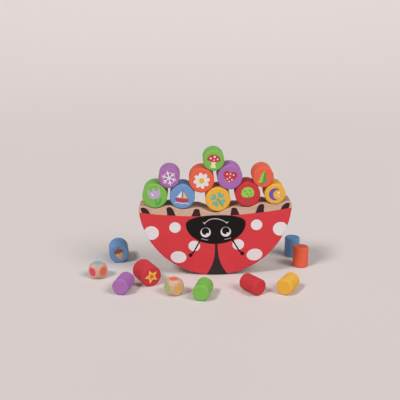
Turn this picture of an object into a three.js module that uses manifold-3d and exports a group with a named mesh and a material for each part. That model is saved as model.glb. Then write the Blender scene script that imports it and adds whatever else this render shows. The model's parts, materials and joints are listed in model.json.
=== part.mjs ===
// Wooden balance game: a half-disc ladybird rocker with a wavy top, stacking stones in three sizes and
// two colour dice. Millimetres, +Z up, +X to the right and +Y away from the player.
// The origin is on the table, under the middle of the whole set.

import * as THREE from 'three';
import { mergeVertices } from 'three/addons/utils/BufferGeometryUtils.js';
import Module from 'manifold-3d';

// Stones
const largeDiameter = 31;
const mediumDiameter = 26;
const smallDiameter = 20;
const stoneLength = 30; // of the large and medium ones, and the thickness of the rocker's board
const smallLength = 27;
const stoneEdge = 2; // rounding of their ends
const middleStoneShift = 3.5; // the middle stone sits a little right of its seat's lowest point

// Rocker
const rockerEdge = 1.2; // rounding of its long edges
const rockerTilt = -1.7; // degrees about +Y, left side down, where the stack balances
const middleGap = 9.3; // room between large stones in the middle and inner seats
const seatGap = 2.7; // room between large stones in the inner and outer seats
const tipMargin = 21; // from the outer seats out to the ends of the rocker
const innerCrestReach = 16.3; // from the inner seats in to their crests
const tipCrestReach = 14; // from the outer seats out to their crests
const tipDrop = 8; // where the round underside ends, below its centre
const tipFullness = 6; // how far the rounding at a tip bulges out
const waveStep = 2.5; // spacing of the points along the wave

// Heights of the wavy top above the centre of the round underside, from the middle outwards
const middleSeatHeight = -12.4;
const innerCrestHeight = -5.3;
const innerSeatHeight = -6.6;
const midCrestHeight = -1.4;
const outerSeatHeight = -4.4;
const tipCrestHeight = -0.8;

// Dice
const dieSize = 19; // from flat to flat
const dieBulge = 2.5; // how far the rounded corners stand out beyond the flats

const clearance = 0.3; // between pieces that touch
const stoneFacets = 32;
const ballFacets = 28;
const arcFacets = 40;

// Where the loose pieces lie on the table: place beside the middle of the rocker, as shares of the rocker's
// radius, and turn in degrees from +X towards +Y of a stone's axis or of a die's face
const looseStones = [
  { size: 'medium', colour: 'blue', across: -1.341, away: 0.453, turn: 98 },
  { size: 'medium', colour: 'red', across: -0.894, away: -0.389, turn: -63 },
  { size: 'small', colour: 'purple', across: -1.169, away: -0.658, turn: 76 },
  { size: 'small', colour: 'green', across: -0.173, away: -0.855, turn: 76 },
  { size: 'small', colour: 'red', across: 0.451, away: -0.716, turn: -55 },
  { size: 'small', colour: 'yellow', across: 0.9, away: -0.706, turn: 60 },
];
const uprightStones = [
  { size: 'small', colour: 'blue', across: 1.141, away: 0.56 },
  { size: 'small', colour: 'orange', across: 1.199, away: 0.16 },
];
const looseDice = [
  { name: 'left', across: -1.551, away: -0.197, turn: 51 },
  { name: 'front', across: -0.534, away: -0.752, turn: 33 },
];

const diameters = { large: largeDiameter, medium: mediumDiameter, small: smallDiameter };
const lengths = { large: stoneLength, medium: stoneLength, small: smallLength };
const paints = {
  green: 0x6fbf3f,
  blue: 0x4f86c6,
  yellow: 0xf0ae34,
  red: 0xcf3444,
  orange: 0xee6a40,
  purple: 0x9b5fb0,
};
const bareWood = 0xd9b48c;
const ladybirdRed = 0xd43c44;

const wasm = await Module();
wasm.setup();

function material(colour, roughness) {
  return new THREE.MeshStandardMaterial({ color: colour, roughness, metalness: 0 });
}

function toSolid(geometry) {
  const bare = geometry.clone();
  bare.deleteAttribute('normal');
  bare.deleteAttribute('uv');
  const merged = mergeVertices(bare);
  return new wasm.Manifold(new wasm.Mesh({
    numProp: 3,
    vertProperties: new Float32Array(merged.attributes.position.array),
    triVerts: new Uint32Array(merged.index.array),
  }));
}

function toGeometry(solid) {
  const mesh = solid.getMesh();
  const geometry = new THREE.BufferGeometry();
  geometry.setAttribute('position', new THREE.BufferAttribute(mesh.vertProperties, 3));
  geometry.setIndex(new THREE.BufferAttribute(mesh.triVerts, 1));
  geometry.computeVertexNormals();
  return geometry;
}

// Crests and seats of the wavy top, from the middle out to the tip, as distance from the middle and height
const innerSeatX = largeDiameter + middleGap;
const outerSeatX = innerSeatX + largeDiameter + seatGap;
const rockerRadius = outerSeatX + tipMargin;
const tipCrestX = outerSeatX + tipCrestReach;
const waveTurns = [
  { x: 0, z: middleSeatHeight },
  { x: innerSeatX - innerCrestReach, z: innerCrestHeight },
  { x: innerSeatX, z: innerSeatHeight },
  { x: (innerSeatX + outerSeatX) / 2, z: midCrestHeight },
  { x: outerSeatX, z: outerSeatHeight },
  { x: tipCrestX, z: tipCrestHeight },
];

// Height of the wavy top at a distance from the middle: each crest eases into the next seat
function waveHeight(x) {
  const across = Math.min(Math.abs(x), tipCrestX);
  const next = Math.max(waveTurns.findIndex((turn) => turn.x >= across), 1);
  const from = waveTurns[next - 1];
  const to = waveTurns[next];
  const ease = (1 - Math.cos(Math.PI * (across - from.x) / (to.x - from.x))) / 2;
  return from.z + (to.z - from.z) * ease;
}

// The rocker's outline, seen from the front: round underside, rounded tips and the wave between them
function rockerOutline() {
  const tipX = Math.sqrt(rockerRadius ** 2 - tipDrop ** 2);
  const tipAngle = -Math.asin(tipDrop / rockerRadius);
  const bulgeX = tipX + tipFullness * tipDrop / rockerRadius; // straight on from the round underside
  const bulgeZ = -tipDrop + tipFullness * tipX / rockerRadius;
  const outline = new THREE.Shape();
  outline.absarc(0, 0, rockerRadius, tipAngle, -Math.PI - tipAngle, true);
  outline.bezierCurveTo(-bulgeX, bulgeZ, -tipCrestX - tipFullness, tipCrestHeight,
    -tipCrestX, tipCrestHeight);
  const steps = Math.round(2 * tipCrestX / waveStep);
  for (let step = 1; step <= steps; step += 1) {
    const x = -tipCrestX + 2 * tipCrestX * step / steps;
    outline.lineTo(x, waveHeight(x));
  }
  outline.bezierCurveTo(tipCrestX + tipFullness, tipCrestHeight, bulgeX, bulgeZ, tipX, -tipDrop);
  return outline;
}

function makeRocker() {
  const geometry = new THREE.ExtrudeGeometry(rockerOutline(), {
    depth: stoneLength - 2 * rockerEdge,
    curveSegments: arcFacets,
    bevelEnabled: true,
    bevelThickness: rockerEdge,
    bevelSize: rockerEdge,
    bevelOffset: -rockerEdge,
    bevelSegments: 2,
  });
  geometry.translate(0, 0, rockerEdge - stoneLength / 2);
  geometry.rotateX(Math.PI / 2); // the outline stands up, its front towards -Y
  const rocker = new THREE.Mesh(geometry, material(ladybirdRed, 0.5));
  rocker.name = 'ladybird_rocker';
  return rocker;
}

// A stone is turned about its own length, with rounded ends, and lies along +Y
function makeStone(size, colour) {
  const radius = diameters[size] / 2;
  const half = lengths[size] / 2;
  const inner = radius - stoneEdge;
  const profile = new THREE.Path();
  profile.moveTo(0, -half);
  profile.lineTo(inner, -half);
  profile.absarc(inner, -half + stoneEdge, stoneEdge, -Math.PI / 2, 0, false);
  profile.lineTo(radius, half - stoneEdge);
  profile.absarc(inner, half - stoneEdge, stoneEdge, 0, Math.PI / 2, false);
  profile.lineTo(0, half);
  const geometry = new THREE.LatheGeometry(profile.getPoints(1), stoneFacets);
  const stone = new THREE.Mesh(geometry, material(paints[colour], 0.45));
  stone.name = `${size}_stone_${colour}`;
  return stone;
}

// A die is a cube whose edges and corners are rounded off by a ball
function makeDie(place) {
  const cube = toSolid(new THREE.BoxGeometry(dieSize, dieSize, dieSize));
  const ball = toSolid(new THREE.SphereGeometry(dieSize / 2 + dieBulge, ballFacets, ballFacets / 2));
  const die = new THREE.Mesh(toGeometry(cube.intersect(ball)), material(bareWood, 0.6));
  die.name = `colour_die_${place}`;
  return die;
}

// The lowest place over the wave for a stone whose axis is at x
function seatOnWave(x, radius) {
  const reach = radius + clearance;
  let height = -rockerRadius;
  for (let dx = -reach; dx <= reach; dx += reach / 200) {
    height = Math.max(height, waveHeight(x + dx) + Math.sqrt(Math.max(reach ** 2 - dx ** 2, 0)));
  }
  return { x, z: height, radius };
}

// The place of a stone that rests in the notch between two lower ones, left and right
function seatOnPair(left, right, radius) {
  const toLeft = left.radius + radius + clearance;
  const toRight = right.radius + radius + clearance;
  const span = Math.hypot(right.x - left.x, right.z - left.z);
  const along = (span ** 2 + toLeft ** 2 - toRight ** 2) / (2 * span);
  const above = Math.sqrt(toLeft ** 2 - along ** 2);
  const ux = (right.x - left.x) / span;
  const uz = (right.z - left.z) / span;
  return { x: left.x + ux * along - uz * above, z: left.z + uz * along + ux * above, radius };
}

const large = largeDiameter / 2;
const medium = mediumDiameter / 2;
const seats = {};
seats.large_green = seatOnWave(-outerSeatX, large);
seats.large_blue = seatOnWave(-innerSeatX, large);
seats.large_yellow = seatOnWave(middleStoneShift, large);
seats.large_red = seatOnWave(innerSeatX, large);
seats.medium_yellow = seatOnWave(outerSeatX, medium);
seats.medium_purple = seatOnPair(seats.large_green, seats.large_blue, medium);
seats.large_orange = seatOnPair(seats.large_blue, seats.large_yellow, large);
seats.large_purple = seatOnPair(seats.large_yellow, seats.large_red, large);
seats.medium_orange = seatOnPair(seats.large_red, seats.medium_yellow, medium);
seats.medium_green = seatOnPair(seats.large_orange, seats.large_purple, medium);

const toy = new THREE.Group();

// The loaded rocker turns as one about the centre of its round underside
const loadedRocker = new THREE.Group();
loadedRocker.position.z = rockerRadius;
loadedRocker.rotation.y = THREE.MathUtils.degToRad(rockerTilt);
loadedRocker.add(makeRocker());
for (const [key, seat] of Object.entries(seats)) {
  const [size, colour] = key.split('_');
  const stone = makeStone(size, colour);
  stone.position.set(seat.x, 0, seat.z);
  loadedRocker.add(stone);
}
toy.add(loadedRocker);

for (const { size, colour, across, away, turn } of looseStones) {
  const stone = makeStone(size, colour);
  stone.position.set(across * rockerRadius, away * rockerRadius, diameters[size] / 2);
  stone.rotation.z = THREE.MathUtils.degToRad(turn - 90);
  toy.add(stone);
}
for (const { size, colour, across, away } of uprightStones) {
  const stone = makeStone(size, colour);
  stone.position.set(across * rockerRadius, away * rockerRadius, lengths[size] / 2);
  stone.rotation.x = Math.PI / 2;
  toy.add(stone);
}
for (const { name, across, away, turn } of looseDice) {
  const die = makeDie(name);
  die.position.set(across * rockerRadius, away * rockerRadius, dieSize / 2);
  die.rotation.z = THREE.MathUtils.degToRad(turn);
  toy.add(die);
}

// The origin goes under the middle of the whole set
toy.updateMatrixWorld(true);
const extent = new THREE.Box3().setFromObject(toy, true);
const middle = extent.getCenter(new THREE.Vector3());
toy.position.set(-middle.x, -middle.y, -extent.min.z);

export default toy;
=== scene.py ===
import json
import math

import bmesh
import bpy
from mathutils import Color, Matrix, Vector


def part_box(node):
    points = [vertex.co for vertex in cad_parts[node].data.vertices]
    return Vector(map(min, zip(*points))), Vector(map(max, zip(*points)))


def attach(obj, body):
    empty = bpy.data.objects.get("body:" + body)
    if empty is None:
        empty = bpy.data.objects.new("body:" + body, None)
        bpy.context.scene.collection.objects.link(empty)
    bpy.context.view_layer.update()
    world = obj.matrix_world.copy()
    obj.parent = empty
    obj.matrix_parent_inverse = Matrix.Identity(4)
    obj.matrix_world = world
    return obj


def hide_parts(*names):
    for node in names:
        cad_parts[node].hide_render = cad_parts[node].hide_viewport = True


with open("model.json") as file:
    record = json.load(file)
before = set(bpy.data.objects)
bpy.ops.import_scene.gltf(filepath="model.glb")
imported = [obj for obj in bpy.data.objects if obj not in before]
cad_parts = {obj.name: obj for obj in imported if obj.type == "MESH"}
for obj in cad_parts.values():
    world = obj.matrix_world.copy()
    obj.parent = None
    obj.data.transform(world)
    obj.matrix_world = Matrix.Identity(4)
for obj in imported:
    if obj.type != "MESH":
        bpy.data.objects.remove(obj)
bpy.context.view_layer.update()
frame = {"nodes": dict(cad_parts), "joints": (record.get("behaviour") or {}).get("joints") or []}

mm = 0.001  # metres
print("frame loaded with", len(frame["nodes"]), "CAD nodes")


# Camera at the picture's viewing angle
cameraSetup = dict(
    frameWidth=400,  # pixels
    focalLength=654.4,  # pixels
    sensorWidth=36.0,  # mm
    place=(-15.0, -771.9, 322.3),  # mm
    pitch=16.08,  # degrees below the horizon
    yaw=1.03,  # degrees to the right
    nearest=0.01,  # metres
    farthest=20.0,
)


def makeCamera():
    setup = cameraSetup
    lens = bpy.data.cameras.new("pictureCamera")
    lens.sensor_width = setup["sensorWidth"]
    lens.lens = setup["focalLength"] / setup["frameWidth"] * setup["sensorWidth"]
    lens.clip_start = setup["nearest"]
    lens.clip_end = setup["farthest"]
    camera = bpy.data.objects.new("pictureCamera", lens)
    camera.location = [value * mm for value in setup["place"]]
    camera.rotation_euler = (math.radians(90 - setup["pitch"]), 0, -math.radians(setup["yaw"]))
    bpy.context.scene.collection.objects.link(camera)
    bpy.context.scene.camera = camera


makeCamera()
print("camera placed")


# Colours as they are seen on the toy
toyColours = dict(
    green="#7db854",
    blue="#6f97c6",
    yellow="#e8b045",
    red="#c93c43",
    orange="#e5664a",
    purple="#a86fae",
    beech="#d2b4a2",
    beechLine="#b6917a",
    ladybirdRed="#d23d44",
    inkBlack="#151112",
    gapBlack="#2f282a",
    inkWhite="#e3dcde",
    legBlack="#3a2023",
    lilac="#bba7c4",
    leafGreen="#9cc653",
    deepGreen="#4d9a55",
    teal="#6fb39a",
    violet="#6a58ab",
    brown="#8b5a3c",
    tan="#cf9f70",
    cream="#ead9bd",
    sunYellow="#efc04e",
    berryRed="#c23a42",
    spotBlue="#78b3d0",
    spotRose="#db4b5d",
    spotOrange="#e7714d",
    spotGreen="#98c26b",
    spotOchre="#e1a95e",
    spotPurple="#a268b0",
)


def linearColour(name):
    code = toyColours[name].lstrip("#")
    channels = [int(code[start:start + 2], 16) / 255 for start in (0, 2, 4)]
    return (*Color(channels).from_srgb_to_scene_linear(), 1.0)


def shade(colour, factor):
    return (*[min(channel * factor, 1.0) for channel in colour[:3]], 1.0)


# Finishes, mixed from noise that is drawn out along the grain
patternSetup = dict(
    noiseRange=(0.3, 0.7),  # nearly all of a noise lies between these
    seedRange=40.0,  # how far apart the pieces' cuts of a pattern may lie
)


def addNode(tree, kind, sockets=None, **options):
    made = tree.nodes.new("ShaderNode" + kind)
    for option, value in options.items():
        setattr(made, option, value)
    for key, value in (sockets or {}).items():
        if isinstance(value, bpy.types.NodeSocket):
            tree.links.new(value, made.inputs[key])
        else:
            made.inputs[key].default_value = value
    return made


def startMaterial(name):
    material = bpy.data.materials.new(name)
    material.use_nodes = True
    tree = material.node_tree
    tree.nodes.clear()
    shader = addNode(tree, "BsdfPrincipled")
    addNode(tree, "OutputMaterial", {"Surface": shader.outputs["BSDF"]})
    return material, tree, shader


def reckon(tree, operation, *values):
    return addNode(tree, "Math", dict(enumerate(values)), operation=operation).outputs[0]


def ramp(tree, value, start, stop, low, high):
    sockets = {"Value": value, "From Min": start, "From Max": stop, "To Min": low, "To Max": high}
    return addNode(tree, "MapRange", sockets).outputs["Result"]


def spread(tree, value, low, high):
    return ramp(tree, value, *patternSetup["noiseRange"], low, high)


def mixColour(tree, factor, first, second, blend="MIX"):
    sockets = {0: factor, 6: first, 7: second}  # the colour sockets come after those for numbers and vectors
    return addNode(tree, "Mix", sockets, data_type="RGBA", blend_type=blend).outputs[2]


def noise(tree, pattern, grainAxis, seed):
    # a pattern is its scale, its detail and its stretch along the grain
    scale, detail, stretch = pattern
    factors = [1.0, 1.0, 1.0]
    factors[grainAxis] = stretch
    points = addNode(tree, "TexCoord").outputs["Object"]
    drawnOut = addNode(tree, "Mapping", {"Vector": points, "Scale": factors}).outputs["Vector"]
    sockets = {"Vector": drawnOut, "W": seed, "Scale": scale, "Detail": detail}
    return addNode(tree, "TexNoise", sockets, noise_dimensions="4D").outputs["Fac"]


def makePatterns(tree, look, grainAxis, *names):
    # each piece gets its own cut of the patterns
    chance = addNode(tree, "ObjectInfo").outputs["Random"]
    seed = reckon(tree, "MULTIPLY", chance, patternSetup["seedRange"])
    return [noise(tree, look[name], grainAxis, seed) for name in names]


def coatColour(tree, look, colourName, fibres, clouds):
    # the fibres show through the colour, and the coat is a little uneven
    colour = linearColour(colourName)
    dark, light = (shade(colour, factor) for factor in look["fibreShades"])
    grained = mixColour(tree, spread(tree, fibres, 0.0, 1.0), dark, light)
    cloudy = spread(tree, clouds, 0.0, look["cloudDepth"])
    return mixColour(tree, cloudy, grained, shade(colour, look["cloudShade"]))


def finishSurface(tree, shader, look, colour, sheen, fibres):
    # the roughness follows one pattern, and the fibres stand out a little
    tree.links.new(colour, shader.inputs["Base Color"])
    tree.links.new(spread(tree, sheen, *look["roughness"]), shader.inputs["Roughness"])
    shader.inputs["Specular IOR Level"].default_value = look["specular"]
    sockets = {"Height": fibres, "Strength": look["bump"], "Distance": look["bumpDepth"] * mm}
    tree.links.new(addNode(tree, "Bump", sockets).outputs["Normal"], shader.inputs["Normal"])


lacquerFinish = dict(
    grainAxis=2,  # grain runs along the stone
    fibres=(1500, 4, 0.05),  # scale, detail and stretch
    clouds=(90, 2, 1.0),
    rubbing=(420, 3, 1.0),
    fibreShades=(0.91, 1.03),
    cloudShade=0.82,
    cloudDepth=0.18,
    wearCorner=(0.515, 0.56),  # pointiness where wear begins and where it is full
    wearDepth=0.11,
    roughness=(0.50, 0.62),
    specular=0.06,
    bump=0.07,
    bumpDepth=0.2,  # mm
)


def makeLacquer(colourName):
    look = lacquerFinish
    material, tree, shader = startMaterial(colourName + "Lacquer")
    fibres, clouds, rubbing = makePatterns(tree, look, look["grainAxis"], "fibres", "clouds", "rubbing")
    coat = coatColour(tree, look, colourName, fibres, clouds)
    # rubbed edges let the pale wood through
    pointiness = addNode(tree, "NewGeometry").outputs["Pointiness"]
    corner = ramp(tree, pointiness, *look["wearCorner"], 0.0, look["wearDepth"])
    wear = reckon(tree, "MULTIPLY", corner, spread(tree, rubbing, 0.0, 1.0))
    worn = mixColour(tree, wear, coat, linearColour("beech"))
    finishSurface(tree, shader, look, worn, clouds, fibres)
    return material


beechFinish = dict(
    fibres=(1300, 4, 0.045),  # scale, detail and stretch
    bands=(150, 3, 0.12),
    flecks=(900, 1, 0.16),
    paleShade=1.05,
    bandShade=1.12,
    bandDepth=0.75,
    fibreDepth=0.45,
    fleckEdge=(0.62, 0.72),  # height of the noise where a fleck begins and where it is full
    fleckShade=0.62,
    fleckDepth=0.55,
    sawnTintAndShade=(0.88, 0.83, 0.81, 1.0),  # sawn edges are a little darker than planed faces; the tint is also painted shade for the wave top between the stones
    roughness=(0.52, 0.68),
    specular=0.08,
    bump=0.22,
    bumpDepth=0.2,  # mm
)


def makeBeech(name, grainAxis, planedAxis=None):
    look = beechFinish
    material, tree, shader = startMaterial(name)
    fibres, bands, flecks = makePatterns(tree, look, grainAxis, "fibres", "bands", "flecks")
    pale, line = linearColour("beech"), linearColour("beechLine")
    banding = spread(tree, bands, 0.0, look["bandDepth"])
    rings = mixColour(tree, banding, shade(pale, look["paleShade"]), shade(line, look["bandShade"]))
    grained = mixColour(tree, spread(tree, fibres, 0.0, look["fibreDepth"]), rings, line)
    dashes = ramp(tree, flecks, *look["fleckEdge"], 0.0, look["fleckDepth"])
    wood = mixColour(tree, dashes, grained, shade(line, look["fleckShade"]))
    # sawn faces are darkened: partly the darker tone of sawn wood, partly painted shade on the wave top
    # between the stones
    if planedAxis is not None:
        normal = addNode(tree, "TexCoord").outputs["Normal"]
        facing = addNode(tree, "SeparateXYZ", {"Vector": normal}).outputs[planedAxis]
        sawnAndShade = reckon(tree, "SUBTRACT", 1.0, reckon(tree, "ABSOLUTE", facing))
        wood = mixColour(tree, sawnAndShade, wood, look["sawnTintAndShade"], "MULTIPLY")
    finishSurface(tree, shader, look, wood, fibres, fibres)
    return material


inkFinish = dict(
    grainAxis=0,
    fibres=(1300, 3, 0.05),  # scale, detail and stretch
    clouds=(260, 3, 1.0),
    fibreShades=(0.94, 1.03),
    cloudShade=0.86,
    cloudDepth=0.14,
    roughness=(0.46, 0.58),
    specular=0.15,
    bump=0.10,
    bumpDepth=0.15,  # mm
)


def makeInk(colourName):
    look = inkFinish
    material, tree, shader = startMaterial(colourName + "Print")
    fibres, clouds = makePatterns(tree, look, look["grainAxis"], "fibres", "clouds")
    finishSurface(tree, shader, look, coatColour(tree, look, colourName, fibres, clouds), clouds, fibres)
    return material


lacquers = {colour: makeLacquer(colour) for colour in ("green", "blue", "yellow", "red", "orange", "purple")}
boardBeech = makeBeech("boardBeech", grainAxis=0, planedAxis=1)  # the rocker's grain runs from tip to tip
dieBeech = makeBeech("dieBeech", grainAxis=2)
inks = {}


def inkFor(colourName):
    if colourName not in inks:
        inks[colourName] = makeInk(colourName)
    return inks[colourName]


print("finishes mixed:", len(lacquers), "lacquers and bare beech")


# Outlines
def between(first, second, share):
    return first + (second - first) * share


def turned(line, turn, factor=1.0):
    c, s = math.cos(math.radians(turn)), math.sin(math.radians(turn))
    return [(factor * (c * x - s * y), factor * (s * x + c * y)) for x, y in line]


def mirrored(line):
    return [(-x, y) for x, y in line]


def arcLine(radius, start, stop, steps):
    # arc round the origin, with both its ends
    line = []
    for step in range(steps + 1):
        angle = between(start, stop, step / steps)
        line.append((radius * math.cos(angle), radius * math.sin(angle)))
    return line


def roundLine(count):
    return arcLine(1, 0, 2 * math.pi, count)[:-1]


def ellipseLine(x, y, across, along=None, turn=0.0, count=64):
    along = across if along is None else along
    line = [(across * c, along * s) for c, s in roundLine(count)]
    return [(x + u, y + v) for u, v in turned(line, turn)]


def splineRun(a, b, c, d, steps):
    # smooth run from b up to c, on a curve that comes from a and goes on to d
    run = []
    for step in range(steps):
        t = step / steps
        bend = (2 * a - 5 * b + 4 * c - d) * t ** 2
        twist = (3 * b - a - 3 * c + d) * t ** 3
        run.append(tuple(0.5 * (2 * b + (c - a) * t + bend + twist)))
    return run


def softLoop(points, steps=8):
    # closed smooth curve through a few points
    corners = [Vector(point) for point in points]
    line = []
    for index in range(len(corners)):
        nearby = [corners[(index + shift) % len(corners)] for shift in (-1, 0, 1, 2)]
        line += splineRun(*nearby, steps)
    return line


def softLine(points, steps=10):
    # open smooth curve through a few points
    corners = [Vector(point) for point in points]
    before, after = 2 * corners[0] - corners[1], 2 * corners[-1] - corners[-2]
    corners = [before, *corners, after]
    line = []
    for index in range(len(corners) - 3):
        line += splineRun(*corners[index:index + 4], steps)
    line.append(tuple(points[-1]))
    return line


def strokeLine(points, width, endSteps=8):
    # a brush stroke along the points, with round ends
    path = [Vector(point) for point in points]
    half = width / 2
    left, right = [], []
    for index, point in enumerate(path):
        ahead = path[min(index + 1, len(path) - 1)] - path[max(index - 1, 0)]
        ahead.normalize()
        side = Vector((-ahead.y, ahead.x)) * half
        left.append(tuple(point + side))
        right.append(tuple(point - side))

    def roundEnd(tip, back):
        ahead = math.atan2(tip.y - back.y, tip.x - back.x)
        arc = arcLine(half, ahead + math.pi / 2, ahead - math.pi / 2, endSteps)
        return [(tip.x + x, tip.y + y) for x, y in arc[1:-1]]

    return left + roundEnd(path[-1], path[-2]) + right[::-1] + roundEnd(path[0], path[1])


def starLine(outer, inner, tips):
    line = []
    for step in range(2 * tips):
        reach = outer if step % 2 == 0 else inner
        angle = math.pi / 2 + math.pi * step / tips
        line.append((reach * math.cos(angle), reach * math.sin(angle)))
    return line


def heartLine(x, y, size, count=48):
    # the usual heart curve, which reaches 16 to each side
    line = []
    for step in range(count):
        t = 2 * math.pi * step / count
        u = 16 * math.sin(t) ** 3
        v = 13 * math.cos(t) - 5 * math.cos(2 * t) - 2 * math.cos(3 * t) - math.cos(4 * t)
        line.append((x + size * u / 16, y + size * (v + 2.5) / 16))
    return line


# Solid pieces and prints
def finishMesh(name, bm, materials, place, smooth=True):
    bmesh.ops.recalc_face_normals(bm, faces=bm.faces)
    mesh = bpy.data.meshes.new(name)
    for face in bm.faces:
        face.smooth = smooth
    bm.to_mesh(mesh)
    bm.free()
    for material in materials:
        mesh.materials.append(material)
    piece = bpy.data.objects.new(name, mesh)
    bpy.context.scene.collection.objects.link(piece)
    piece.matrix_world = place
    return piece


def joinRings(bm, rings):
    for first, second in zip(rings, rings[1:]):
        count = len(first)
        for index in range(count):
            after = (index + 1) % count
            bm.faces.new((first[index], first[after], second[after], second[index]))


printLayer = dict(depth=0.12, first=0.05, step=0.03)  # mm below and above the wood, and per coat


def coatTop(layer):
    return printLayer["first"] + layer * printLayer["step"]


def addCoat(bm, outline, onFace, layer, materialIndex):
    # onFace turns a point of the outline and its height, in mm, into the piece's own space
    upper = [bm.verts.new(onFace(x, y, coatTop(layer))) for x, y in outline]
    lower = [bm.verts.new(onFace(x, y, -printLayer["depth"])) for x, y in outline]
    faces = [bm.faces.new(upper), bm.faces.new(lower[::-1])]
    for index in range(len(outline)):
        faces.append(bm.faces.new((upper[index - 1], lower[index - 1], lower[index], upper[index])))
    for face in faces:
        face.material_index = materialIndex


def makePrint(name, coats, onFace, place):
    # coats are (ink name, layer, outline), and a higher layer lies on top
    inkNames = list(dict.fromkeys(inkName for inkName, layer, outline in coats))
    bm = bmesh.new()
    for inkName, layer, outline in coats:
        addCoat(bm, outline, onFace, layer, inkNames.index(inkName))
    return finishMesh(name, bm, [inkFor(inkName) for inkName in inkNames], place, smooth=False)


# Rocker: half disc with a wavy top, in mm from the centre of its round underside
rockerShape = dict(
    radius=95.0,
    thickness=30.0,
    edge=1.2,
    faceMargin=0.5,  # beside the edge, keeps the face flat in the light
    tilt=-1.7,  # degrees about +Y
    tipDrop=8.0,
    tipFullness=6.0,
    # seats and crests in turn, from the middle out to one tip
    wave=[(0, -12.4), (24, -5.3), (40.3, -6.6), (57.15, -1.4), (74, -4.4), (88, -0.8)],
    arcSteps=200,
    tipSteps=14,
    waveSteps=150,
    edgeSteps=5,
)
rockerMiddle = Vector(next(joint["pos_m"] for joint in frame["joints"] if joint["name"] == "rocker_rock"))
rockerPlace = Matrix.Translation(rockerMiddle) @ Matrix.Rotation(math.radians(rockerShape["tilt"]), 4, "Y")


def waveHeight(x):
    turns = rockerShape["wave"]
    across = min(abs(x), turns[-1][0])
    for (x0, z0), (x1, z1) in zip(turns, turns[1:]):
        if across <= x1:
            break
    return between(z0, z1, (1 - math.cos(math.pi * (across - x0) / (x1 - x0))) / 2)


def bezier(points, steps):
    # inner points of a curve with two ends and two handles
    line = []
    for step in range(1, steps):
        t = step / steps
        u = 1 - t
        shares = (u ** 3, 3 * u * u * t, 3 * u * t * t, t ** 3)
        line.append(tuple(sum(share * value for share, value in zip(shares, axis)) for axis in zip(*points)))
    return line


def rockerOutline():
    shape = rockerShape
    radius, drop, full = shape["radius"], shape["tipDrop"], shape["tipFullness"]
    tipX = math.sqrt(radius ** 2 - drop ** 2)
    tipAngle = math.asin(drop / radius)
    crestX, crestZ = shape["wave"][-1]
    bulge = (tipX + full * drop / radius, -drop + full * tipX / radius)
    rightTip = [(crestX, crestZ), (crestX + full, crestZ), bulge, (tipX, -drop)]
    line = arcLine(radius, -tipAngle, tipAngle - math.pi, shape["arcSteps"])
    line += bezier(mirrored(rightTip)[::-1], shape["tipSteps"])
    for step in range(shape["waveSteps"] + 1):
        x = between(-crestX, crestX, step / shape["waveSteps"])
        line.append((x, waveHeight(x)))
    return line + bezier(rightTip, shape["tipSteps"])


def insetLine(line, depth):
    moved = []
    count = len(line)
    for index in range(count):
        ahead = Vector(line[(index + 1) % count]) - Vector(line[index - 1])
        ahead.normalize()
        inward = Vector((ahead.y, -ahead.x))  # the outline runs clockwise
        moved.append(tuple(Vector(line[index]) + inward * depth))
    return moved


def makeRockerBoard():
    shape = rockerShape
    outline = rockerOutline()
    half, edge = shape["thickness"] / 2, shape["edge"]
    bands = [(edge + shape["faceMargin"], -half)]  # depth inside the outline and place through the board
    for c, s in arcLine(edge, 0, math.pi / 2, shape["edgeSteps"]):
        bands.append((edge - s, edge - half - c))
    bands += [(depth, -y) for depth, y in reversed(bands)]
    bm = bmesh.new()
    rings = []
    for depth, y in bands:
        rings.append([bm.verts.new((x * mm, y * mm, z * mm)) for x, z in insetLine(outline, depth)])
    joinRings(bm, rings)
    bm.faces.new(rings[0])
    bm.faces.new(rings[-1])
    return finishMesh("rocker_board", bm, [boardBeech], rockerPlace)


# Ladybird on the front, x to the right and z up from the same centre; what both sides share is given once
rockerPaint = dict(
    rim=1.15,  # where the flat print gives way to the rounded edge
    rimTurn=72,  # degrees that the print wraps round the edge
    rimTurnSteps=4,
    rimSteps=240,
    rimHalvings=8,
    borderMiddle=-16.5,  # upper border of the red, at the middle and at the tips
    borderTip=-8.7,
    borderSteps=80,
    caseSteps=160,
    headWide=37.2,
    headLevel=-26.6,  # height of its widest place
    headTop=-15.4,
    headFoot=-53.2,
    headSquare=2.3,  # power of the upper outline, 2 is round
    headSteps=96,
    eyes=[(-12.95, -37.4), (12.25, -37.4)],
    eyeSize=6.4,
    pupils=[(-13.1, -36.0), (12.3, -36.0)],
    pupilSize=4.75,
    glint=(2.1, -3.6),  # from the middle of a pupil
    glintSize=(1.55, 1.3),
    smile=[(-13.2, -24.7), (-7.6, -20.95), (-0.8, -19.9), (6.8, -21.6), (13.2, -25.2)],
    smileWidth=0.72,
    smileTick=[(-15.4, -24.4), (-13.2, -26.2)],
    tickWidth=0.8,
    brow=[(18.4, -45.5), (14.6, -46.8), (10.5, -47.6)],
    browWidth=0.46,
    feeler=[(19.8, -47.3), (23.8, -54.6), (28.2, -62.2), (32.6, -67)],
    feelerWidth=1.8,
    feelerBall=2.5,
    gapTop=-52.5,
    gapNarrow=1.6,
    gapWide=13.5,
    gapCurve=2.75,
    gapSteps=24,
    gapFootSteps=16,
    spots=[  # middle, half sizes and turn in degrees
        (80.6, -35.95, 9.4, 8.95, 0),
        (50.8, -29.7, 7.1, 6.95, 0),
        (27.6, -54.9, 7.3, 7.0, 0),
        (47.95, -69.1, 10, 7.8, 8),
    ],
    legs=[
        [(80.6, -13.5), (81.4, -9.2), (83.4, -5.8), (86.6, -3.1), (89.8, -2.3), (91.9, -3.0), (92, -5.4),
         (90.8, -9), (88.6, -13.5)],
        [(49.4, -17), (50.8, -10.6), (52.6, -6.0), (55.4, -3.2), (58.6, -3.0), (60.3, -4.8), (60, -10.5),
         (59.2, -17)],
        [(19.2, -19), (19.2, -11), (20.2, -7.4), (23, -6.3), (26, -7.2), (28, -11.4), (30, -19)],
    ],
)
paintReach = rockerShape["radius"] - rockerPaint["rim"]


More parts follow.
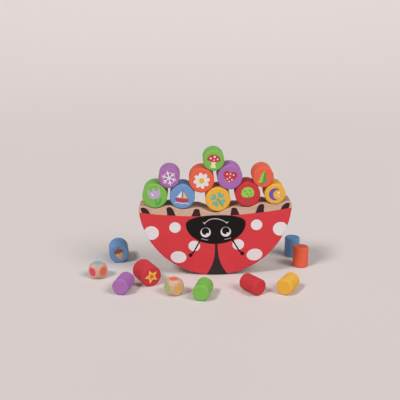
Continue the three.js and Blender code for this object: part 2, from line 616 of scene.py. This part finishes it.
def onFront(x, z, out):
    return Vector((x, -rockerShape["thickness"] / 2 - out, z)) * mm


def bothSides(inkName, layer, line):
    return [(inkName, layer, line), (inkName, layer, mirrored(line))]


def withinRim(line):
    kept = []
    for x, z in line:
        pull = min(paintReach / math.hypot(x, z), 1.0)
        kept.append((x * pull, z * pull))
    return kept


def wingCases():
    # from a curved border down to the rim
    look = rockerPaint
    tip = math.asin(-look["borderTip"] / paintReach)
    line = arcLine(paintReach, -tip, tip - math.pi, look["caseSteps"])
    leftX = line[-1][0]
    for step in range(1, look["borderSteps"]):
        x = between(leftX, -leftX, step / look["borderSteps"])
        rise = (x / rockerShape["radius"]) ** 2
        line.append((x, between(look["borderMiddle"], look["borderTip"], rise)))
    return line


def wingGap():
    # opens from the head down to the rim
    look = rockerPaint
    side, foot = [], []
    for step in range(look["gapSteps"] + 1):
        share = step / look["gapSteps"]
        x = between(look["gapNarrow"], look["gapWide"], share ** look["gapCurve"])
        side.append((x, between(look["gapTop"], -paintReach, share)))
    for step in range(1, look["gapFootSteps"]):
        x = between(look["gapWide"], -look["gapWide"], step / look["gapFootSteps"])
        foot.append((x, -math.sqrt(paintReach ** 2 - x ** 2)))
    return withinRim(side + foot + mirrored(side[::-1]))


def headLine():
    # round below its widest place, squarer above
    look = rockerPaint
    line = []
    for c, s in roundLine(look["headSteps"]):
        power = 2 / look["headSquare"] if s > 0 else 1.0
        tall = look["headTop"] - look["headLevel"] if s > 0 else look["headLevel"] - look["headFoot"]
        x = look["headWide"] * math.copysign(abs(c) ** power, c)
        line.append((x, look["headLevel"] + tall * math.copysign(abs(s) ** power, s)))
    return line


def paintFace():
    look = rockerPaint
    coats = [("inkWhite", 6, strokeLine(softLine(look["smile"]), look["smileWidth"]))]
    coats += bothSides("inkWhite", 7, strokeLine(look["smileTick"], look["tickWidth"]))
    coats += bothSides("inkWhite", 6, strokeLine(softLine(look["brow"]), look["browWidth"]))
    for eye, pupil in zip(look["eyes"], look["pupils"]):
        glint = Vector(pupil) + Vector(look["glint"])
        coats.append(("inkWhite", 6, ellipseLine(*eye, look["eyeSize"])))
        coats.append(("inkBlack", 8, ellipseLine(*pupil, look["pupilSize"])))
        coats.append(("inkWhite", 9, ellipseLine(*glint, *look["glintSize"], count=24)))
    return coats


def paintRocker():
    look = rockerPaint
    coats = []
    for corners in look["legs"]:
        coats += bothSides("legBlack", 0, softLoop(corners))
    coats.append(("ladybirdRed", 1, wingCases()))
    for spot in look["spots"]:
        coats += bothSides("inkWhite", 2, withinRim(ellipseLine(*spot)))
    coats.append(("gapBlack", 3, wingGap()))
    coats.append(("inkBlack", 4, headLine()))
    coats += bothSides("inkBlack", 3, strokeLine(softLine(look["feeler"]), look["feelerWidth"]))
    coats += bothSides("inkBlack", 5, ellipseLine(*look["feeler"][-1], look["feelerBall"], count=32))
    return makePrint("rocker_print", coats + paintFace(), onFront, rockerPlace)


def rimInk(x, z):
    # the colour that runs out to the rim at this place
    for spotX, spotZ, wide, high, turn in rockerPaint["spots"]:
        offset = Matrix.Rotation(-math.radians(turn), 2) @ Vector((abs(x) - spotX, z - spotZ))
        if (offset.x / wide) ** 2 + (offset.y / high) ** 2 < 1:
            return "inkWhite"
    return "gapBlack" if abs(x) < rockerPaint["gapWide"] else "ladybirdRed"


def closeBand(bm, rings, materialIndex):
    before = len(bm.faces)
    loops = [[bm.verts.new(point) for point in ring] for ring in rings]
    joinRings(bm, loops)
    bm.faces.new(loops[0])
    bm.faces.new(loops[-1])
    bm.faces.ensure_lookup_table()
    for face in bm.faces[before:]:
        face.material_index = materialIndex


def paintRim():
    # the print's edge, wrapped round the rounded edge of the board
    look, shape = rockerPaint, rockerShape
    edge, flat = shape["edge"], shape["radius"] - shape["edge"]
    tip = math.asin(-look["borderTip"] / shape["radius"])
    wrap = math.radians(look["rimTurn"])
    outer = arcLine(edge + coatTop(1), 0, wrap, look["rimTurnSteps"])
    inner = arcLine(edge - printLayer["depth"], wrap, 0, look["rimTurnSteps"])
    section = [(flat + s, edge - shape["thickness"] / 2 - c) for c, s in outer + inner]

    def heading(step):
        angle = between(-tip, tip - math.pi, step / look["rimSteps"])
        return math.cos(angle), math.sin(angle)

    def inkAt(step):
        c, s = heading(step)
        return rimInk(flat * c, flat * s)

    def ringAt(step):
        c, s = heading(step)
        return [(far * c * mm, y * mm, far * s * mm) for far, y in section]

    # the places where the colour changes, each found by halving its step
    borders = [0]
    for step in range(look["rimSteps"]):
        before, after = step, step + 1
        ink = inkAt(before)
        if ink != inkAt(after):
            for halving in range(look["rimHalvings"]):
                middle = (before + after) / 2
                if inkAt(middle) == ink:
                    before = middle
                else:
                    after = middle
            borders.append(after)
    borders.append(look["rimSteps"])

    bm = bmesh.new()
    inkNames = ["ladybirdRed", "inkWhite", "gapBlack"]
    for first, last in zip(borders, borders[1:]):
        steps = [first, *range(math.floor(first) + 1, math.ceil(last)), last]
        closeBand(bm, [ringAt(step) for step in steps], inkNames.index(inkAt((first + last) / 2)))
    return finishMesh("rocker_rim_print", bm, [inkFor(name) for name in inkNames], rockerPlace)


board = makeRockerBoard()
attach(board, "rocker")
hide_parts("ladybird_rocker")
paintwork = paintRocker()
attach(paintwork, "rocker")
rimwork = paintRim()
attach(rimwork, "rocker")
print("rocker made and painted")


# Stones: turned, lacquered and, on the large and medium ones, printed on one end
stoneShape = dict(
    edge=2.0,  # mm
    edgeSteps=7,
    endMargin=0.4,  # mm beside the edge, keeps the end flat in the light
    sideMargin=0.6,  # and the side straight
    hub=0.5,  # share of the radius
    facets=96,
    upright=0.9,  # how far up a standing stone's axis looks
    away=0.01,  # how far an axis may look away from the player
)
stoneSizes = ("large", "medium", "small")


def stoneFacts(node):
    # middle, axis out of the end that faces the player, radius and length of the CAD stone
    mesh = frame["nodes"][node].data
    areas, facing = {}, {}
    for polygon in mesh.polygons:
        key = tuple(round(value, 2) for value in polygon.normal)
        areas[key] = areas.get(key, 0) + polygon.area
        facing[key] = polygon.normal.copy()
    axis = facing[max(areas, key=areas.get)]  # an end is the largest flat of a stone
    if axis.y > stoneShape["away"] or axis.z < -stoneShape["upright"]:
        axis = -axis
    low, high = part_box(node)
    middle = (low + high) / 2
    offsets = [vertex.co - middle for vertex in mesh.vertices]
    along = [offset.dot(axis) for offset in offsets]
    across = [(offset - axis * reach).length for offset, reach in zip(offsets, along)]
    return middle, axis, max(across), max(along) - min(along)


def stonePlace(middle, axis):
    # the piece's own +Z looks out of the printed end, +Y up on the print
    up = Vector((0, 0, 1)) if abs(axis.z) < stoneShape["upright"] else Vector((0, 1, 0))
    right = up.cross(axis).normalized()
    up = axis.cross(right)
    return Matrix.Translation(middle) @ Matrix((right, up, axis)).transposed().to_4x4()


def makeStone(name, radius, length, material, place):
    shape = stoneShape
    edge, half = shape["edge"] * mm, length / 2
    profile = [(shape["hub"] * radius, -half), (radius - edge - shape["endMargin"] * mm, -half)]
    for c, s in arcLine(edge, 0, math.pi / 2, shape["edgeSteps"]):
        profile.append((radius - edge + s, edge - half - c))
    profile.append((radius, -half + edge + shape["sideMargin"] * mm))
    profile += [(reach, -z) for reach, z in reversed(profile)]
    bm = bmesh.new()
    rings = []
    for reach, z in profile:
        rings.append([bm.verts.new((reach * c, reach * s, z)) for c, s in roundLine(shape["facets"])])
    joinRings(bm, rings)
    for ring, z in ((rings[0], -half), (rings[-1], half)):
        hub = bm.verts.new((0, 0, z))
        for index, vertex in enumerate(ring):
            bm.faces.new((ring[index - 1], vertex, hub))
    return finishMesh(name, bm, [material], place)


# Prints on the stones, drawn on an end of radius 1
def tulipPrint():
    bloom = softLoop([
        (-0.36, 0.52), (-0.17, 0.30), (0, 0.56), (0.17, 0.30), (0.36, 0.52),
        (0.40, 0.10), (0.22, -0.14), (0, -0.19), (-0.22, -0.14), (-0.40, 0.10),
    ])
    leaf = softLoop([(0.0, -0.58), (0.18, -0.42), (0.40, -0.14), (0.34, -0.40), (0.18, -0.58)])
    return [
        ("deepGreen", 0, strokeLine([(0, -0.12), (0, -0.62)], 0.07)),
        ("deepGreen", 1, leaf),
        ("lilac", 2, bloom),
        ("inkWhite", 3, ellipseLine(-0.14, 0.12, 0.05, 0.12, 14, 24)),
    ]


def boatPrint():
    hull = softLoop([
        (-0.54, -0.14), (0, -0.15), (0.54, -0.14), (0.40, -0.38), (0, -0.43), (-0.40, -0.38),
    ], 6)
    wave = softLine([(-0.56, -0.55), (-0.28, -0.49), (0, -0.55), (0.28, -0.49), (0.56, -0.55)])
    return [
        ("brown", 0, strokeLine([(0, -0.14), (0, 0.60)], 0.05)),
        ("inkWhite", 1, [(-0.06, 0.50), (-0.06, -0.07), (-0.46, -0.07)]),
        ("sunYellow", 1, [(0.06, 0.42), (0.40, -0.07), (0.06, -0.07)]),
        ("berryRed", 2, hull),
        ("inkWhite", 3, strokeLine(wave, 0.05)),
    ]


def cloverPrint():
    coats = [("deepGreen", 0, strokeLine(softLine([(0, -0.02), (0.06, -0.34), (0.20, -0.60)]), 0.07))]
    for turn in (45, 135, 225, 315):
        coats.append(("teal", 1, turned(heartLine(0, 0.30, 0.25), turn)))
    coats.append(("deepGreen", 2, ellipseLine(0, 0, 0.07, count=24)))
    return coats


def treePrint():
    crown = softLoop([
        (0, 0.58), (0.32, 0.46), (0.46, 0.16), (0.36, -0.12),
        (0, -0.20), (-0.36, -0.12), (-0.46, 0.16), (-0.32, 0.46),
    ])
    coats = [("brown", 0, [(-0.08, -0.14), (-0.11, -0.60), (0.11, -0.60), (0.08, -0.14)])]
    coats.append(("leafGreen", 1, crown))
    for x, y in ((0.16, 0.30), (0.26, 0.06), (-0.04, 0.08), (-0.20, 0.28), (0.08, -0.10)):
        coats.append(("deepGreen", 2, ellipseLine(x, y, 0.06, count=20)))
    return coats


def daisyPrint():
    petals, seeds = 8, 6
    coats = []
    for step in range(petals):
        petal = ellipseLine(0, 0.38, 0.15, 0.22, count=32)
        coats.append(("inkWhite", step % 2, turned(petal, 360 / petals * step)))
    coats.append(("sunYellow", 2, ellipseLine(0, 0, 0.21, count=40)))
    for c, s in roundLine(seeds):
        coats.append(("inkBlack", 3, ellipseLine(0.10 * c, 0.10 * s, 0.026, count=14)))
    return coats


def heartPrint():
    coats = [("berryRed", 0, heartLine(0, 0, 0.52))]
    dots = [(-0.24, 0.22), (0.24, 0.22), (0, 0.02), (-0.16, -0.12), (0.17, -0.14), (0, 0.26), (0, -0.30)]
    for x, y in dots:
        coats.append(("inkWhite", 1, ellipseLine(x, y, 0.055, count=20)))
    return coats


def moonPrint():
    # a round disc with a bite whose middle lies to the right
    bite = 0.24
    crescent = arcLine(0.52, math.radians(50), math.radians(310), 40)
    firstX, firstY = crescent[0]
    lastX, lastY = crescent[-1]
    begin = math.atan2(lastY, lastX - bite)
    end = math.atan2(firstY, firstX - bite) - 2 * math.pi
    inner = arcLine(math.hypot(firstX - bite, firstY), begin, end, 32)
    coats = [("violet", 0, crescent + [(x + bite, y) for x, y in inner[1:-1]])]
    for x, y, size in ((0.26, 0.17, 0.09), (0.09, -0.06, 0.055), (0.33, -0.12, 0.07)):
        coats.append(("inkWhite", 0, ellipseLine(x, y, size, count=24)))
    return coats


def snowPrint():
    arms = 6
    coats = []
    for step in range(arms):
        turn = 360 / arms * step
        coats.append(("inkWhite", step % 2, turned(strokeLine([(0, 0), (0, 0.58)], 0.09), turn)))
        for layer, side in ((2, -1), (3, 1)):
            twig = strokeLine([(0, 0.32), (side * 0.16, 0.46)], 0.075)
            coats.append(("inkWhite", layer, turned(twig, turn)))
    coats.append(("inkWhite", 4, ellipseLine(0, 0, 0.10, count=24)))
    return coats


def pinePrint():
    coats = [("brown", 0, [(-0.07, -0.38), (-0.07, -0.62), (0.07, -0.62), (0.07, -0.38)])]
    tiers = ((-0.44, 0.02, 0.42), (-0.16, 0.30, 0.34), (0.10, 0.60, 0.25))
    for step, (foot, top, wide) in enumerate(tiers):
        shadow = [(0, top), (wide, foot), (0.45 * wide, foot - 0.035), (0, foot - 0.045)]
        tier = shadow + mirrored(shadow[2:0:-1])
        coats += [("leafGreen", 1 + 2 * step, tier), ("deepGreen", 2 + 2 * step, shadow)]
    return coats


def toadstoolPrint():
    cap = [(0.56 * c, 0.02 + 0.50 * s) for c, s in arcLine(1, 0, math.pi, 30)]
    cap += [(-0.28, -0.07), (0, -0.10), (0.28, -0.07)]
    stem = softLoop([
        (-0.15, 0.02), (0.15, 0.02), (0.15, -0.30), (0.22, -0.54),
        (0, -0.59), (-0.22, -0.54), (-0.15, -0.30),
    ], 6)
    coats = [("cream", 0, stem), ("berryRed", 1, cap)]
    for x, y, size in ((-0.26, 0.18, 0.085), (0.04, 0.34, 0.10), (0.30, 0.16, 0.075), (0.02, 0.07, 0.06)):
        coats.append(("inkWhite", 2, ellipseLine(x, y, size, size * 0.9, count=24)))
    return coats


def acornPrint():
    nut = softLoop([(-0.32, 0.10), (0, 0.14), (0.32, 0.10), (0.27, -0.22), (0, -0.56), (-0.27, -0.22)])
    cap = softLoop([(-0.42, 0.12), (-0.30, 0.36), (0, 0.44), (0.30, 0.36), (0.42, 0.12), (0, 0.05)])
    return [
        ("tan", 0, nut),
        ("brown", 1, cap),
        ("brown", 2, strokeLine(softLine([(0, 0.40), (0.03, 0.52), (0.12, 0.62)]), 0.075)),
        ("cream", 1, ellipseLine(-0.13, -0.14, 0.04, 0.12, 14, 20)),
    ]


def starPrint():
    return [("sunYellow", 0, starLine(0.60, 0.28, 5)), ("orange", 1, starLine(0.30, 0.14, 5))]


stonePrints = dict(
    large_stone_green=dict(motif=tulipPrint, turn=10, size=1.22),
    large_stone_blue=dict(motif=boatPrint, turn=-6, size=1.0),
    large_stone_yellow=dict(motif=cloverPrint, turn=16, size=1.12),
    large_stone_red=dict(motif=treePrint, turn=4, size=1.1),
    large_stone_orange=dict(motif=daisyPrint, turn=9, size=1.1),
    large_stone_purple=dict(motif=heartPrint, turn=-8, size=1.08),
    medium_stone_green=dict(motif=toadstoolPrint, turn=-6, size=1.15),
    medium_stone_blue=dict(motif=acornPrint, turn=14, size=1.15),
    medium_stone_yellow=dict(motif=moonPrint, turn=-8, size=1.15),
    medium_stone_red=dict(motif=starPrint, turn=20, size=1.18),
    medium_stone_orange=dict(motif=pinePrint, turn=-10, size=1.12),
    medium_stone_purple=dict(motif=snowPrint, turn=12, size=1.15),
)


def printStone(name, artwork, radius, length, place):
    def onEnd(x, y, out):
        return Vector((x, y, length / 2 + out * mm))

    coats = []
    for inkName, layer, line in artwork["motif"]():
        coats.append((inkName, layer, turned(line, artwork["turn"], radius * artwork["size"])))
    return makePrint(name, coats, onEnd, place)


def makeStones():
    for size in stoneSizes:
        for colour, lacquer in lacquers.items():
            node = f"{size}_stone_{colour}"
            middle, axis, radius, length = stoneFacts(node)
            place = stonePlace(middle, axis)
            stone = makeStone(f"{size}_{colour}_stone", radius, length, lacquer, place)
            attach(stone, node)
            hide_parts(node)
            if node in stonePrints:
                picture = printStone(f"{size}_{colour}_print", stonePrints[node], radius, length, place)
                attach(picture, node)
        print(size, "stones made")


makeStones()


# Colour dice
dieShape = dict(
    bulge=2.5,  # mm that the rounded corners stand out beyond the flats
    blend=0.5,  # mm of softening where a flat meets the rounding
    weld=0.001,  # mm
    cells=26,
    level=0.01,  # how far up an upright flat may look
    spot=5.65,  # mm
    spotSteps=56,
    faces=dict(
        colour_die_left=dict(
            top="spotBlue", left="spotRose", right="spotOrange",
            foot="spotOchre", back="spotGreen", far="spotPurple",
        ),
        colour_die_front=dict(
            top="spotOrange", left="spotGreen", right="spotOchre",
            foot="spotPurple", back="spotBlue", far="spotRose",
        ),
    ),
    sides=dict(  # directions across, up and out of each face; right and left look towards the player
        top=((1, 0, 0), (0, 1, 0), (0, 0, 1)),
        foot=((1, 0, 0), (0, -1, 0), (0, 0, -1)),
        right=((1, 0, 0), (0, 0, 1), (0, -1, 0)),
        left=((0, -1, 0), (0, 0, 1), (-1, 0, 0)),
        back=((-1, 0, 0), (0, 0, 1), (0, 1, 0)),
        far=((0, 1, 0), (0, 0, 1), (1, 0, 0)),
    ),
)


def dieTurn(node):
    # the upright flats show which way the die is turned
    areas = {}
    for polygon in frame["nodes"][node].data.polygons:
        if abs(polygon.normal.z) < dieShape["level"]:
            angle = round(math.degrees(math.atan2(polygon.normal.y, polygon.normal.x)) % 90, 1)
            areas[angle] = areas.get(angle, 0) + polygon.area
    return max(areas, key=areas.get)


def diePoint(ray, half):
    # on the flat or on the ball, whichever is nearer the middle, with a soft change between them
    ball = half + dieShape["bulge"] * mm
    soft = dieShape["blend"] * mm
    flat = half / max(abs(ray.x), abs(ray.y), abs(ray.z))
    near = max(soft - abs(flat - ball), 0) / soft
    return ray * (min(flat, ball) - near * near * soft / 4)


def makeDie(name, half, place):
    cells = dieShape["cells"]
    slopes = [math.tan(math.pi / 4 * (2 * step / cells - 1)) for step in range(cells + 1)]
    bm = bmesh.new()
    for axis in range(3):
        for sign in (-1, 1):
            grid = []
            for u in slopes:
                row = []
                for v in slopes:
                    ray = Vector((0, 0, 0))
                    ray[axis], ray[(axis + 1) % 3], ray[(axis + 2) % 3] = sign, u, v
                    row.append(bm.verts.new(diePoint(ray.normalized(), half)))
                grid.append(row)
            for first, second in zip(grid, grid[1:]):
                for index in range(cells):
                    bm.faces.new((first[index], second[index], second[index + 1], first[index + 1]))
    bmesh.ops.remove_doubles(bm, verts=bm.verts, dist=dieShape["weld"] * mm)
    return finishMesh(name, bm, [dieBeech], place)


def spotDie(name, colours, half, place):
    outline = ellipseLine(0, 0, dieShape["spot"], count=dieShape["spotSteps"])
    bm = bmesh.new()
    for index, side in enumerate(colours):
        across, up, out = (Vector(direction) for direction in dieShape["sides"][side])

        def onSide(x, y, height):
            return (across * x + up * y + out * height) * mm + out * half

        addCoat(bm, outline, onSide, 0, index)
    return finishMesh(name, bm, [inkFor(colour) for colour in colours.values()], place, smooth=False)


def makeDice():
    for node, colours in dieShape["faces"].items():
        name = node.replace("colour_", "")
        low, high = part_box(node)
        half = (high.z - low.z) / 2
        place = Matrix.Translation((low + high) / 2) @ Matrix.Rotation(math.radians(dieTurn(node)), 4, "Z")
        block = makeDie(name + "_block", half, place)
        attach(block, node)
        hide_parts(node)
        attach(spotDie(name + "_spots", colours, half, place), node)


makeDice()
print("dice made")


# Plain pale floor that sweeps up all round the toy
studioShape = dict(
    colour=(0.695, 0.635, 0.62, 1.0),
    speckleScale=30.0,
    speckleDetail=4.0,
    speckleShade=0.9,
    speckleDepth=0.06,
    roughness=0.7,
    specular=0.2,
    flat=1.3,  # metres from the middle to where the floor starts to rise
    sweep=5.0,  # radius of the rise
    rise=58,  # degrees of the sweep
    rings=24,
    spokes=96,
)


def makeFloorPaint():
    look = studioShape
    material, tree, shader = startMaterial("paleFloor")
    sockets = {"Scale": look["speckleScale"], "Detail": look["speckleDetail"]}
    speckle = spread(tree, addNode(tree, "TexNoise", sockets).outputs["Fac"], 0.0, look["speckleDepth"])
    tone = mixColour(tree, speckle, look["colour"], shade(look["colour"], look["speckleShade"]))
    tree.links.new(tone, shader.inputs["Base Color"])
    shader.inputs["Roughness"].default_value = look["roughness"]
    shader.inputs["Specular IOR Level"].default_value = look["specular"]
    return material


def makeFloor():
    shape = studioShape
    bm = bmesh.new()
    rings = []
    for c, s in arcLine(shape["sweep"], 0, math.radians(shape["rise"]), shape["rings"]):
        away, height = shape["flat"] + s, shape["sweep"] - c
        rings.append([bm.verts.new((away * x, away * y, height)) for x, y in roundLine(shape["spokes"])])
    joinRings(bm, rings)
    bm.faces.new(rings[0])
    floor = finishMesh("paleFloor", bm, [makeFloorPaint()], Matrix.Identity(4))
    floor.visible_shadow = False  # the low lights shine in over its rim


studioLights = dict(
    skyColour=(1.0, 0.98, 0.965, 1.0),
    skyStrength=0.05,
    suns=[  # a key light on each side, low fill from in front and behind, and a little from above
        dict(name="leftLight", towards=(-0.7, -0.6, 1.0), strength=1.68, softness=14),
        dict(name="rightLight", towards=(0.8, -0.6, 1.0), strength=1.53, softness=28),
        dict(name="frontLight", towards=(0, -2.4, 0.1), strength=0.36, softness=40),
        dict(name="backLight", towards=(0.4, 2.4, 0.2), strength=0.4, softness=40),
        dict(name="topLight", towards=(0, 0.2, 2.0), strength=0.3, softness=40),
    ],
)


def makeLights():
    setup = studioLights
    world = bpy.data.worlds.new("studioSky")
    world.use_nodes = True
    sky = world.node_tree.nodes["Background"]
    sky.inputs["Color"].default_value = setup["skyColour"]
    sky.inputs["Strength"].default_value = setup["skyStrength"]
    bpy.context.scene.world = world
    for sun in setup["suns"]:
        light = bpy.data.lights.new(sun["name"], "SUN")
        light.energy = sun["strength"]
        light.angle = math.radians(sun["softness"])
        holder = bpy.data.objects.new(sun["name"], light)
        holder.location = sun["towards"]
        holder.rotation_euler = Vector(sun["towards"]).to_track_quat("Z", "Y").to_euler()
        bpy.context.scene.collection.objects.link(holder)


makeFloor()
makeLights()
bpy.context.scene.view_settings.view_transform = "Standard"
print("floor and lights set")
